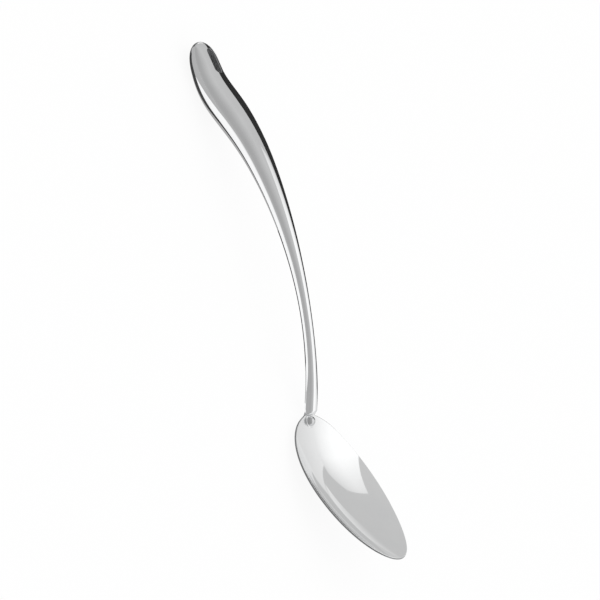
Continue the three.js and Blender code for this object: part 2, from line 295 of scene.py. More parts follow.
@dataclass
class HandleForm:
    """Spine and oval sections of stem and grip, in millimetres."""

    bowl: BowlForm
    seat: float = 0.8
    stem_angle: float = 46.5
    stem_pull: float = 69.0
    crest_reach: float = 171.5
    crest_rise: float = 85.2
    crest_pull: float = 46.5
    tail_pull: float = 35.0
    end_reach: float = 222.0
    end_rise: float = 95.7
    end_angle: float = 21.0
    end_pull: float = 15.0
    end_round: float = 16.0
    joint_reach: float = 96.0
    neck: tuple[float, float] = (9.1, 7.65)
    waist: tuple[float, float] = (7.1, 6.7)
    flare: tuple[float, float] = (9.45, 8.4)
    middle: tuple[float, float] = (17.9, 13.95)
    swell: tuple[float, float] = (24.4, 18.2)
    belly: tuple[float, float] = (27.2, 19.8)
    tail: tuple[float, float] = (23.7, 16.9)
    end: tuple[float, float] = (20.9, 12.8)
    spine_marks: tuple[float, ...] = (0.0, 25.0, 50.0, 75.0, 100.0, 125.0, 150.0, 175.0, 200.0)
    size_marks: tuple[float, ...] = (0.0, 40.0, 76.0, 128.0, 160.0, 184.0, 203.0)
    spine: Spline = field(init=False)
    widths: Spline = field(init=False)
    heights: Spline = field(init=False)

    def __post_init__(self) -> None:
        """Draws the spine and the splines of the sections."""
        marks = (*self.spine_marks, self.end_reach)
        slopes = (math.tan(math.radians(self.stem_angle)), math.tan(math.radians(self.end_angle)))
        self.spine = Spline([(reach, self._drawn_rise(reach)) for reach in marks], slopes)
        places = (*self.size_marks, self.end_reach)
        slim = (self.neck, self.waist, self.flare, self.middle)
        sizes = (*slim, self.swell, self.belly, self.tail, self.end)
        self.widths = Spline([(place, size[0]) for place, size in zip(places, sizes)])
        self.heights = Spline([(place, size[1]) for place, size in zip(places, sizes)])

    @staticmethod
    def _leaning(degrees: float) -> Vector:
        """Unit direction backwards and up at an angle."""
        angle = math.radians(degrees)
        return Vector((-math.cos(angle), 0.0, math.sin(angle)))

    def _drawn_rise(self, reach: float) -> float:
        """Height of the two drawn curves of the spine.

        Args:
            reach: Distance behind the heel.

        Returns:
            Height over the drawing's base.
        """
        root = self.bowl.above(0.0, 0.0, self.seat)
        stem = self._leaning(self.stem_angle)
        tail = self._leaning(self.end_angle)
        crest = Vector((-self.crest_reach, 0.0, self.crest_rise))
        end = Vector((-self.end_reach, 0.0, self.end_rise))
        flat = Vector((1.0, 0.0, 0.0))
        if reach < self.crest_reach:
            pulls = (root, root + stem * self.stem_pull, crest + flat * self.crest_pull, crest)
        else:
            pulls = (crest, crest - flat * self.tail_pull, end - tail * self.end_pull, end)
        low = 0.0
        high = 1.0
        point = pulls[0]
        for _ in range(HALVINGS):
            t = (low + high) / 2
            point = (
                pulls[0] * (1 - t) ** 3
                + pulls[1] * (3 * t * (1 - t) ** 2)
                + pulls[2] * (3 * t * t * (1 - t))
                + pulls[3] * t**3
            )
            if -point.x < reach:
                low = t
            else:
                high = t
        return point.z

    def station(self, reach: float) -> Station:
        """Cuts the handle square to its spine.

        Args:
            reach: Distance behind the heel.

        Returns:
            The handle's full section there, before its end is rounded off.
        """
        slope = self.spine.slope(reach)
        stretch = math.hypot(1.0, slope)
        return Station(
            centre=Vector((-reach, 0.0, self.spine.value(reach))),
            along=Vector((-1.0, 0.0, slope)) / stretch,
            up=Vector((slope, 0.0, 1.0)) / stretch,
            across=self.widths.value(reach) / 2,
            rise=self.heights.value(reach) / 2,
        )

    def into_end(self, reach: float, wall: float) -> float:
        """Share of the rounded end before a reach, at a depth under the outer surface."""
        return max(reach - (self.end_reach - self.end_round), 0.0) / (self.end_round - wall)

    def surface(self, reach: float, angle: float, wall: float = 0.0) -> Vector:
        """Finds a point of the handle.

        Args:
            reach: Distance behind the heel.
            angle: Angle round the section, from its +Y side over its top.
            wall: Depth under the outer surface.

        Returns:
            Point of the surface.
        """
        at = self.station(reach)
        share = math.sqrt(max(1 - self.into_end(reach, wall) ** 3, 0.0))
        point = at.centre + at.up * (math.sin(angle) * (at.rise - wall) * share)
        point.y += math.cos(angle) * (at.across - wall) * share
        return point

    def beyond(self, point: Vector, wall: float = 0.0) -> float:
        """Tells on which side of the surface a point lies.

        Args:
            point: Any point near the handle.
            wall: Depth under the outer surface.

        Returns:
            A measure that is negative inside the surface, zero on it and positive outside.
        """
        reach = -point.x
        for _ in range(SPINE_WALK):
            slope = self.spine.slope(reach)
            lean = point.z - self.spine.value(reach)
            reach += (-(point.x + reach) + lean * slope) / (1 + slope * slope)
        at = self.station(reach)
        rise = (point - at.centre).dot(at.up)
        into = self.into_end(reach, wall)
        oval = (point.y / (at.across - wall)) ** 2 + (rise / (at.rise - wall)) ** 2
        return oval + into**3 - 1

    def normal(self, point: Vector) -> Vector:
        """Finds which way the outer surface faces.

        Args:
            point: Point of the outer surface.

        Returns:
            Unit direction out of the surface.
        """
        step = 0.02
        sides = (Vector((step, 0, 0)), Vector((0, step, 0)), Vector((0, 0, step)))
        return Vector([self.beyond(point + s) - self.beyond(point - s) for s in sides]).normalized()


@dataclass
class SlotForm:
    """The hanging slot through the end of the grip, in millimetres."""

    handle: HandleForm
    back: float = 13.5
    length: float = 17.0
    width: float = 6.4
    wall: float = 0.9
    mouth_limit: float = 16.0
    at: Station = field(init=False)

    def __post_init__(self) -> None:
        """Finds the section in which the slot's axis stands."""
        self.at = self.handle.station(self.handle.end_reach - self.back)

    def outline(self, turn: float, margin: float) -> tuple[float, float]:
        """Walks round the oblong.

        Args:
            turn: Share of the way round the oblong.
            margin: Distance outside the slot's own outline.

        Returns:
            Place along the slot and across it.
        """
        radius = self.width / 2 + margin
        straight = (self.length - self.width) / 2
        angle = 2 * math.pi * turn
        along = math.copysign(straight, math.cos(angle)) + radius * math.cos(angle)
        return along, radius * math.sin(angle)

    def clearance(self, point: Vector) -> float:
        """Measures how far a point lies from the slot.

        Args:
            point: Any point of the handle.

        Returns:
            Distance of the point outside the slot's outline, seen along its axis.
        """
        along = abs((point - self.at.centre).dot(self.at.along))
        straight = (self.length - self.width) / 2
        return math.hypot(max(along - straight, 0.0), point.y) - self.width / 2

    def place(self, turn: float, margin: float, height: float) -> Vector:
        """Finds a point of the slot's wall.

        Args:
            turn: Share of the way round the oblong.
            margin: Distance outside the slot's own outline.
            height: Height along the slot's axis.

        Returns:
            The point.
        """
        along, across = self.outline(turn, margin)
        point = self.at.centre + self.at.along * along + self.at.up * height
        point.y += across
        return point

    def mouth(self, turn: float, margin: float, half: Half, depth: float = 0.0) -> float:
        """Height at which the slot's wall meets the grip.

        Args:
            turn: Share of the way round the oblong.
            margin: Distance outside the slot's own outline.
            half: Which face of the grip.
            depth: Depth under the grip's outer surface.

        Returns:
            Height along the slot's axis.
        """
        inner = 0.0
        outer = self.mouth_limit if half is Half.TOP else -self.mouth_limit
        for _ in range(HALVINGS):
            height = (inner + outer) / 2
            if self.handle.beyond(self.place(turn, margin, height), depth) < 0:
                inner = height
            else:
                outer = height
        return (inner + outer) / 2


def lane_layer(shape: BMesh) -> BMLayerItem:
    """The layer that keeps each vertex's number along its profile."""
    return shape.verts.layers.int.get("lane") or shape.verts.layers.int.new("lane")


def ring(shape: BMesh, points: list[Vector]) -> list[BMEdge]:
    """Starts a closed profile.

    Args:
        shape: Mesh in the making.
        points: Points round the profile.

    Returns:
        Edges of the profile.
    """
    lane = lane_layer(shape)
    made = bmesh.ops.create_circle(shape, cap_ends=False, radius=1.0, segments=len(points))["verts"]
    for number, vert in enumerate(made):
        vert[lane] = number
        vert.co = points[number]
    return list({edge for vert in made for edge in vert.link_edges})


def grow(shape: BMesh, edges: list[BMEdge], points: list[Vector]) -> list[BMEdge]:
    """Extrudes a profile to its next place.

    Args:
        shape: Mesh in the making.
        edges: Edges of the last profile.
        points: Points of the next profile, by lane.

    Returns:
        Edges of the next profile.
    """
    lane = lane_layer(shape)
    made = bmesh.ops.extrude_edge_only(shape, edges=edges)["geom"]
    fresh = {part for part in made if isinstance(part, BMVert)}
    for vert in fresh:
        vert.co = points[vert[lane]]
    return [
        part for part in made if isinstance(part, BMEdge) and fresh.issuperset(part.verts)
    ]


def close(shape: BMesh) -> None:
    """Merges corners that coincide and turns every face outwards.

    Args:
        shape: Mesh in the making.
    """
    bmesh.ops.remove_doubles(shape, verts=shape.verts[:], dist=SAME_CORNER)
    bmesh.ops.recalc_face_normals(shape, faces=shape.faces[:])


def add(
    tree: bpy.types.NodeTree,
    kind: str,
    values: dict[str | int, object] | None = None,
    **traits: object,
) -> bpy.types.Node:
    """Adds a shader node to a tree.

    Args:
        tree: Tree of a material, of the world or of a node group.
        kind: Kind of node, without the words that every shader node begins with.
        values: Values of its inputs, by name or number.
        traits: Settings of the node itself.

    Returns:
        The node.
    """
    node = tree.nodes.new("ShaderNode" + kind)
    for name, trait in traits.items():
        setattr(node, name, trait)
    for name, value in (values or {}).items():
        node.inputs[name].default_value = value
    return node


def join(
    tree: bpy.types.NodeTree,
    *wires: tuple[bpy.types.Node, str | int, bpy.types.Node, str | int],
) -> None:
    """Links nodes of a tree by wires, each a node, its output, the next node and the input there."""
    for source, output, target, socket in wires:
        tree.links.new(source.outputs[output], target.inputs[socket])


def bare_material(name: str) -> bpy.types.Material:
    """Starts a material for the stage.

    Args:
        name: Name of the material.

    Returns:
        The material, with nothing but its output.
    """
    made = bpy.data.materials.new(name)
    made.use_nodes = True
    made.node_tree.nodes.remove(made.node_tree.nodes["Principled BSDF"])
    return made


def set_on_stage(name: str, shape: BMesh, material: bpy.types.Material) -> bpy.types.Object:
    """Puts a drawn mesh on the stage round the spoon.

    Args:
        name: Name of the object.
        shape: Its mesh in metres.
        material: Its surface.

    Returns:
        The object.
    """
    mesh = bpy.data.meshes.new(name)
    shape.to_mesh(mesh)
    shape.free()
    mesh.materials.append(material)
    made = bpy.data.objects.new(name, mesh)
    bpy.context.scene.collection.objects.link(made)
    return made


@dataclass(frozen=True)
class SteelFinish:
    """A polished or plain steel surface.

    Attributes:
        name: Name of the material.
        clean: Colour where the polish is fresh.
        hazed: Colour where handling has dulled it.
        gloss: Roughness where clean and where hazed.
        haze_scale: Fineness of the haze, per metre.
        line_scale: Fineness of the polishing lines, per metre.
        line_depth: Strength of the polishing lines.
    """

    name: str
    clean: tuple[float, float, float]
    hazed: tuple[float, float, float]
    gloss: tuple[float, float]
    haze_scale: float
    line_scale: float
    line_depth: float

    def material(self) -> bpy.types.Material:
        """Mixes the finish, or finds it if another piece has it already.

        Returns:
            The material.
        """
        if self.name in bpy.data.materials:
            return bpy.data.materials[self.name]
        made = bpy.data.materials.new(self.name)
        made.use_nodes = True
        tree = made.node_tree
        steel = tree.nodes["Principled BSDF"]
        steel.inputs["Metallic"].default_value = 1.0
        where = add(tree, "TexCoord")
        haze = add(tree, "Group", node_tree=handling_haze())
        haze.inputs["Scale"].default_value = self.haze_scale
        colours = {6: (*self.clean, 1.0), 7: (*self.hazed, 1.0)}
        colour = add(tree, "Mix", colours, data_type="RGBA")
        gloss = add(tree, "MapRange", {"To Min": self.gloss[0], "To Max": self.gloss[1]})
        lines = add(tree, "Group", node_tree=polishing_lines())
        lines.inputs["Scale"].default_value = self.line_scale
        bump = add(tree, "Bump", {"Strength": self.line_depth, "Distance": LINE_HEIGHT})
        join(
            tree,
            (where, "Object", haze, "Vector"),
            (haze, "Haze", colour, 0),
            (colour, 2, steel, "Base Color"),
            (haze, "Haze", gloss, "Value"),
            (gloss, "Result", steel, "Roughness"),
            (where, "Object", lines, "Vector"),
            (lines, "Height", bump, "Height"),
            (bump, "Normal", steel, "Normal"),
        )
        return made


def start_group(
    name: str, output: str
) -> tuple[bpy.types.NodeTree, bpy.types.Node, bpy.types.Node]:
    """Starts a node group that takes a place and a fineness.

    Args:
        name: Name of the node group.
        output: Name of its one output.

    Returns:
        The group, its input node and its output node.
    """
    group = bpy.data.node_groups.new(name, "ShaderNodeTree")
    group.interface.new_socket("Vector", in_out="INPUT", socket_type="NodeSocketVector")
    group.interface.new_socket("Scale", in_out="INPUT", socket_type="NodeSocketFloat")
    group.interface.new_socket(output, in_out="OUTPUT", socket_type="NodeSocketFloat")
    return group, group.nodes.new("NodeGroupInput"), group.nodes.new("NodeGroupOutput")


def handling_haze() -> bpy.types.NodeTree:
    """The faint cloudy haze that wiping and handling leave on polished steel.

    Returns:
        The shared node group.
    """
    if "handling_haze" in bpy.data.node_groups:
        return bpy.data.node_groups["handling_haze"]
    group, given, result = start_group("handling_haze", "Haze")
    clouds = add(group, "TexNoise", {"Detail": 4.0, "Roughness": 0.6})
    spread = add(group, "MapRange", {"From Min": 0.35, "From Max": 0.75})
    join(
        group,
        (given, "Vector", clouds, "Vector"),
        (given, "Scale", clouds, "Scale"),
        (clouds, "Fac", spread, "Value"),
        (spread, "Result", result, "Haze"),
    )
    return group


def polishing_lines() -> bpy.types.NodeTree:
    """Very fine lines that the buffing wheel leaves along the spoon.

    Returns:
        The shared node group.
    """
    if "polishing_lines" in bpy.data.node_groups:
        return bpy.data.node_groups["polishing_lines"]
    group, given, result = start_group("polishing_lines", "Height")
    stretch = add(group, "VectorMath", {1: (0.04, 1.0, 1.0)}, operation="MULTIPLY")
    grain = add(group, "TexNoise", {"Detail": 2.0})
    join(
        group,
        (given, "Vector", stretch, 0),
        (stretch, "Vector", grain, "Vector"),
        (given, "Scale", grain, "Scale"),
        (grain, "Fac", result, "Height"),
    )
    return group


@dataclass
class Piece:
    """Shared ways of every piece of the spoon.

    Attributes:
        pose: How the spoon lies.
        finish: Its surface.
    """

    pose: RestPose
    finish: SteelFinish

    def settle(
        self,
        name: str,
        shape: BMesh,
        normals: list[Vector],
        node: str,
        slot: Slot,
        second: SteelFinish | None = None,
    ) -> None:
        """Lays a drawn mesh on the table as a finished piece.

        Args:
            name: Name of the piece.
            shape: Its mesh in the drawing.
            normals: Direction of the true surface at each vertex, or zero to leave it to the faces.
            node: CAD node that it stands for.
            slot: Material slot of the record; not used.
            second: Finish of the faces with material index 1, if there are any.
        """
        shape.transform(self.pose.matrix())
        mesh = bpy.data.meshes.new(name)
        shape.to_mesh(mesh)
        shape.free()
        mesh.polygons.foreach_set("use_smooth", [True] * len(mesh.polygons))
        mesh.set_sharp_from_angle(angle=SHARP_ANGLE)
        if any(normal.length for normal in normals):
            turn = self.pose.turn().to_3x3()
            mesh.normals_split_custom_set_from_vertices([tuple(turn @ normal) for normal in normals])
        mesh.materials.append(self.finish.material())
        if second is not None:
            mesh.materials.append(second.material())
        piece = bpy.data.objects.new(name, mesh)
        bpy.context.scene.collection.objects.link(piece)
        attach(piece, "root")
        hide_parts(node)
        log.info("%s: %d faces for %s", name, len(mesh.polygons), node)

    @staticmethod
    def skin_normals(shape: BMesh, handle: HandleForm, start: float = 0.0) -> list[Vector]:
        """Finds the true directions where a mesh follows the handle's surface.

        Args:
            shape: Mesh in the drawing.
            handle: The handle.
            start: Distance behind the heel from which the mesh follows it.

        Returns:
            Direction at each vertex, or zero off the surface.
        """
        found = []
        for vert in shape.verts:
            on_skin = -vert.co.x > start and abs(handle.beyond(vert.co)) < ON_SURFACE
            found.append(handle.normal(vert.co) if on_skin else Vector())
        return found


@dataclass
class Bowl(Piece):
    """The pressed bowl with its tang."""

    form: BowlForm
    rim_finish: SteelFinish
    segments: int = 168
    rings: int = 34
    rim_round: float = 0.35
    rim_steps: int = 3
    rim_band: float = 0.36
    face_margin: float = 0.03

    def build(self) -> None:
        """Presses the hollow, gives the sheet its thickness and rounds the rim."""
        shape = bmesh.new()
        outline = [self.form.outline((n + 0.5) / self.segments) for n in range(self.segments)]
        hub = self.form.length / 2
        edges = ring(shape, [self.form.inside(x, y) for x, y in outline])
        rim = list(edges)
        for step in range(1, self.rings + 1):
            share = 1 - step / self.rings
            points = [self.form.inside(hub + (x - hub) * share, y * share) for x, y in outline]
            edges = grow(shape, edges, points)
        bmesh.ops.remove_doubles(shape, verts=shape.verts[:], dist=SAME_CORNER)
        upper = shape.faces[:]
        copied = bmesh.ops.duplicate(shape, geom=upper)
        for vert in [part for part in copied["geom"] if isinstance(part, BMVert)]:
            vert.co = self.form.above(vert.co.x, vert.co.y, -self.form.sheet)
        under_rim = [
            part for part in copied["geom"] if isinstance(part, BMEdge) and part.is_boundary
        ]
        bmesh.ops.bridge_loops(shape, edges=rim + under_rim)
        bmesh.ops.recalc_face_normals(shape, faces=shape.faces[:])
        bmesh.ops.bevel(
            shape,
            geom=rim + under_rim,
            offset=self.rim_round,
            affect="EDGES",
            segments=self.rim_steps,
            profile=0.5,
            material=-1,
        )
        for face in shape.faces:
            lift = self._lift(face.calc_center_median())
            if abs(lift + self.form.sheet / 2) < self.rim_band:
                face.material_index = 1
        normals = self._normals(shape)
        self.settle("bowl_pressed", shape, normals, "bowl", Slot.BOWL, self.rim_finish)

    def _lift(self, point: Vector) -> float:
        """Measures how high a point lies over the hollow.

        Args:
            point: Point of the drawn bowl.

        Returns:
            Its height over the inside surface, square to that surface.
        """
        x = point.x
        y = point.y
        for _ in range(HOLLOW_WALK):
            out = self.form.normal(x, y)
            lift = (point - self.form.inside(x, y)).dot(out)
            x = point.x - out.x * lift
            y = point.y - out.y * lift
        return lift

    def _normals(self, shape: BMesh) -> list[Vector]:
        """Finds the true directions on both faces of the sheet.

        Args:
            shape: The drawn bowl.

        Returns:
            True directions on both faces of the sheet, zero on its rounded rim.
        """
        found = []
        for vert in shape.verts:
            lift = self._lift(vert.co)
            if abs(lift) < self.face_margin:
                found.append(self.form.normal(vert.co.x, vert.co.y))
            elif abs(lift + self.form.sheet) < self.face_margin:
                above = self.form.normal(vert.co.x, vert.co.y) * self.form.sheet
                found.append(-self.form.normal(vert.co.x + above.x, vert.co.y + above.y))
            else:
                found.append(Vector())
        return found


@dataclass
class Stem(Piece):
    """The forged stem, with the tongue that laps the bowl's heel and the spigot inside the grip."""

    bowl: BowlForm
    handle: HandleForm
    sides: int = 48
    steps: int = 60
    round_steps: int = 12
    front_steps: tuple[int, int, int] = (6, 20, 10)
    tongue_length: float = 6.3
    tongue_width: float = 7.4
    tongue_thickness: float = 0.8
    tongue_edge: float = 0.5
    squareness: float = 4.5
    lap: float = -0.25
    plain_from: float = 4.6
    true_from: float = 5.6
    run_lead: float = 0.5
    run_out: float = 3.5
    nose_from: float = -2.2
    nose_to: float = -0.2
    spigot_length: float = 14.0
    spigot_wall: float = 1.3

    def build(self) -> None:
        """Draws the stem out from the end of its tongue to its spigot."""
        shape = bmesh.new()
        places = self._tongue_places()
        edges = ring(shape, self._front_ring(places[0]))
        for place in places[1:]:
            edges = grow(shape, edges, self._front_ring(place))
        span = self.handle.joint_reach - self.plain_from
        for step in range(1, self.steps + 1):
            reach = self.plain_from + span * step / self.steps
            edges = grow(shape, edges, self._bar_ring(reach, 0.0))
        for reach in (self.handle.joint_reach, self.handle.joint_reach + self.spigot_length):
            edges = grow(shape, edges, self._bar_ring(reach, self.spigot_wall))
        bmesh.ops.edgeloop_fill(shape, edges=edges)
        close(shape)
        normals = self.skin_normals(shape, self.handle, self.true_from)
        self.settle("stem_forged", shape, normals, "stem", Slot.HANDLE)

    def _tongue_places(self) -> list[float]:
        """Lists the sections of the front end.

        Returns:
            Places along the bowl from the tongue's end back to the plain stem.
        """
        round_start = self.tongue_length - self.tongue_width / 2
        places = []
        for step in range(self.round_steps + 1):
            angle = step / self.round_steps * math.pi / 2
            places.append(round_start + self.tongue_width / 2 * math.cos(angle))
        marks = (round_start, self.nose_to, self.nose_from, -self.plain_from)
        for start, end, steps in zip(marks, marks[1:], self.front_steps):
            places += [start + (end - start) * step / steps for step in range(1, steps + 1)]
        return places

    def _front_ring(self, x: float) -> list[Vector]:
        """A section of the front end, between the flat tongue and the oval stem.

        Args:
            x: Place along the bowl.

        Returns:
            Points round the section.
        """
        into_nose = min(max((x - self.nose_from) / (self.nose_to - self.nose_from), 0.0), 1.0)
        blend = math.sqrt(1 - into_nose**2)
        flat = self.bowl.above(x, 0.0, self.lap + self.tongue_thickness / 2)
        out = self.bowl.normal(x, 0.0)
        bar = self.handle.station(max(-x, 0.0))
        centre = flat.lerp(bar.centre, blend)
        up = out.lerp(bar.up, blend).normalized()
        half = self.tongue_width / 2
        into = max(x - (self.tongue_length - half), 0.0) / half
        across = half * math.sqrt(max(1 - into * into, 0.0)) * (1 - blend) + bar.across * blend
        edge = min((self.tongue_length - x) / self.tongue_edge, 1.0)
        thick = self.tongue_thickness / 2 * math.sqrt(max(1 - (1 - edge) ** 2, 0.0))
        rise = thick + (bar.rise - thick) * blend
        lapped = min(rise, (centre - self.bowl.above(x, 0.0, self.lap)).dot(out))
        run = (x + self.bowl.tang_length + self.run_lead) / self.run_out
        run = min(max(run, 0.0), 1.0)
        drop = rise + (lapped - rise) * run * run * (3 - 2 * run)
        power = 2 / (self.squareness + (2 - self.squareness) * blend)
        points = []
        for side in range(self.sides):
            angle = 2 * math.pi * side / self.sides
            wide = math.copysign(abs(math.cos(angle)) ** power, math.cos(angle))
            high = math.copysign(abs(math.sin(angle)) ** power, math.sin(angle))
            point = centre + up * (high * (rise if high > 0 else drop))
            point.y += wide * across
            points.append(point)
        return points

    def _bar_ring(self, reach: float, wall: float) -> list[Vector]:
        """Points round the stem's oval at a reach, at a depth under its surface."""
        turn = 2 * math.pi / self.sides
        return [self.handle.surface(reach, turn * side, wall) for side in range(self.sides)]


@dataclass
class GripShell(Piece):
    """One half of the hollow grip, with its half of the slot's hole."""

    handle: HandleForm
    slot: SlotForm
    half: Half
    wall: float = 1.0
    lanes: int = 28
    steps: int = 70
    end_steps: int = 18
    hole_points: int = 72
    hole_margin: float = 0.6

    def build(self) -> None:
        """Draws the skin and its inside, opens the slot and closes every edge between the two."""
        shape = bmesh.new()
        outer_edge, outer_hole = self._skin(shape, 0.0)
        inner_edge, inner_hole = self._skin(shape, self.wall)
        bmesh.ops.bridge_loops(shape, edges=outer_edge + inner_edge)
        bmesh.ops.bridge_loops(shape, edges=outer_hole + inner_hole)
        bmesh.ops.recalc_face_normals(shape, faces=shape.faces[:])
        normals = self.skin_normals(shape, self.handle)
        word = "top" if self.half is Half.TOP else "bottom"
        name = f"grip_{word}_half"
        self.settle(name, shape, normals, f"grip_{word}_shell", Slot.HANDLE)

    def _skin(self, shape: BMesh, wall: float) -> tuple[list[BMEdge], list[BMEdge]]:
        """Draws one surface of the half, with the slot's hole in it.

        Args:
            shape: Mesh in the making.
            wall: Depth under the grip's outer surface.

        Returns:
            Edges round the half and edges round the hole.
        """
        lane = lane_layer(shape)
        before = set(shape.faces)
        angles = [self.half.value + math.pi * n / self.lanes for n in range(self.lanes + 1)]
        places = self._places(wall)
        arc = [shape.verts.new(self.handle.surface(places[0], angle, wall)) for angle in angles]
        for number, vert in enumerate(arc):
            vert[lane] = number
        edges = [shape.edges.new(pair) for pair in zip(arc, arc[1:])]
        for reach in places[1:]:
            points = [self.handle.surface(reach, angle, wall) for angle in angles]
            edges = grow(shape, edges, points)
        tip = list({vert for edge in edges for vert in edge.verts})
        bmesh.ops.remove_doubles(shape, verts=tip, dist=SAME_TIP)
        skin = [face for face in shape.faces if face not in before]
        rim = list({edge for face in skin for edge in face.edges if edge.is_boundary})
        margin = self.slot.wall
        limit = margin + self.hole_margin
        doomed = [
            face
            for face in skin
            if any(self.slot.clearance(vert.co) < limit for vert in face.verts)
        ]
        bmesh.ops.delete(shape, geom=doomed, context="FACES")
        kept = [face for face in shape.faces if face not in before]
        torn = {edge for face in kept for edge in face.edges if edge.is_boundary}
        torn.difference_update(rim)
        points = []
        for number in range(self.hole_points):
            turn = number / self.hole_points
            height = self.slot.mouth(turn, margin, self.half, wall)
            points.append(self.slot.place(turn, margin, height))
        hole = ring(shape, points)
        bmesh.ops.bridge_loops(shape, edges=list(torn) + hole)
        return rim, hole

    def _places(self, wall: float) -> list[float]:
        """Lists the sections of the half.

        Args:
            wall: Depth under the grip's outer surface.

        Returns:
            Reaches from the joint to the end, closer together over the rounded end.
        """
        start = self.handle.joint_reach
        turn = self.handle.end_reach - self.handle.end_round
        places = [start + (turn - start) * step / self.steps for step in range(self.steps)]
        left = self.handle.end_round - wall
        for step in range(self.end_steps + 1):
            places.append(turn + left * math.sin(step / self.end_steps * math.pi / 2))
        return places


@dataclass
class SlotSleeve(Piece):
    """The oblong tube that lines the hanging slot, rolled over at both mouths."""

    slot: SlotForm
    face_finish: SteelFinish
    points: int = 72
    lip: float = 0.2
    lip_steps: int = 4

    def build(self) -> None:
        """Draws the sleeve down its inside and back up its outside."""
        shape = bmesh.new()
        rows = self._rows()
        edges = ring(shape, rows[0])
        for row in rows[1:]:
            edges = grow(shape, edges, row)
        close(shape)
        normals = self.skin_normals(shape, self.slot.handle)
        for face in shape.faces:
            if all(normals[vert.index].length > 0 for vert in face.verts):
                face.material_index = 1
        node = "hanging_slot_sleeve"
        self.settle("slot_sleeve", shape, normals, node, Slot.SLEEVE, self.face_finish)

    def _rows(self) -> list[list[Vector]]:
        """Lists the rows of points of the whole sleeve.

        Returns:
            Rows of points round the sleeve, from its top lip and round to it again.
        """
        turns = [number / self.points for number in range(self.points)]
        faces = {}
        for half in Half:
            flat = [
                [
                    self.slot.place(t, margin, self.slot.mouth(t, margin, half))
                    for t in turns
                ]
                for margin in (self.slot.wall, (self.slot.wall + self.lip) / 2)
            ]
            faces[half] = flat + self._lip_rows(turns, half)
        rows = faces[Half.TOP] + faces[Half.BOTTOM][::-1]
        rows.append(rows[0])
        return rows

    def _lip_rows(self, turns: list[float], half: Half) -> list[list[Vector]]:
        """Rolls the lip of one mouth.

        Args:
            turns: Shares of the way round the oblong.
            half: Which mouth.

        Returns:
            Rows of points that roll from the grip's surface into the slot.
        """
        sign = 1.0 if half is Half.TOP else -1.0
        mouths = [self.slot.mouth(turn, self.lip, half) for turn in turns]
        rows = []
        for step in range(self.lip_steps + 1):
            angle = step / self.lip_steps * math.pi / 2
            margin = self.lip * (1 - math.sin(angle))
            drop = sign * self.lip * (1 - math.cos(angle))
            rows.append([self.slot.place(t, margin, mouth - drop) for t, mouth in zip(turns, mouths)])
        return rows


@dataclass
class Rivet(Piece):
    """The domed rivet through tongue and heel."""

    bowl: BowlForm
    place: float = 2.6
    head: float = 6.4
    head_rise: float = 2.9
    shank: float = 3.0
    foot: float = 5.0
    foot_rise: float = 0.8
    seat: float = 0.5
    sides: int = 48
    arc_steps: int = 10

    def build(self) -> None:
        """Spins the rivet's profile and stands it on the heel."""
        shape = bmesh.new()
        arc = [step / self.arc_steps * math.pi / 2 for step in range(self.arc_steps + 1)]
        profile = [
            (self.head / 2 * math.sin(a), self.seat + self.head_rise * math.cos(a)) for a in arc
        ]
        profile += [(self.shank / 2, self.seat), (self.shank / 2, -self.bowl.sheet)]
        profile += [
            (self.foot / 2 * math.cos(a), -self.bowl.sheet - self.foot_rise * math.sin(a)) for a in arc
        ]
        line = [shape.verts.new((radius, 0.0, height)) for radius, height in profile]
        edges = [shape.edges.new(pair) for pair in zip(line, line[1:])]
        bmesh.ops.spin(
            shape,
            geom=line + edges,
            cent=(0, 0, 0),
            axis=(0, 0, 1),
            angle=2 * math.pi,
            steps=self.sides,
            use_merge=True,
        )
        close(shape)
        out = self.bowl.normal(self.place, 0.0)
        stand = out.to_track_quat("Z", "Y").to_matrix().to_4x4()
        foot = Matrix.Translation(self.bowl.inside(self.place, 0.0))
        bmesh.ops.transform(shape, matrix=foot @ stand, verts=shape.verts[:])
        blank = [Vector() for _ in shape.verts]
        self.settle("rivet_domed", shape, blank, "rivet", Slot.RIVET)


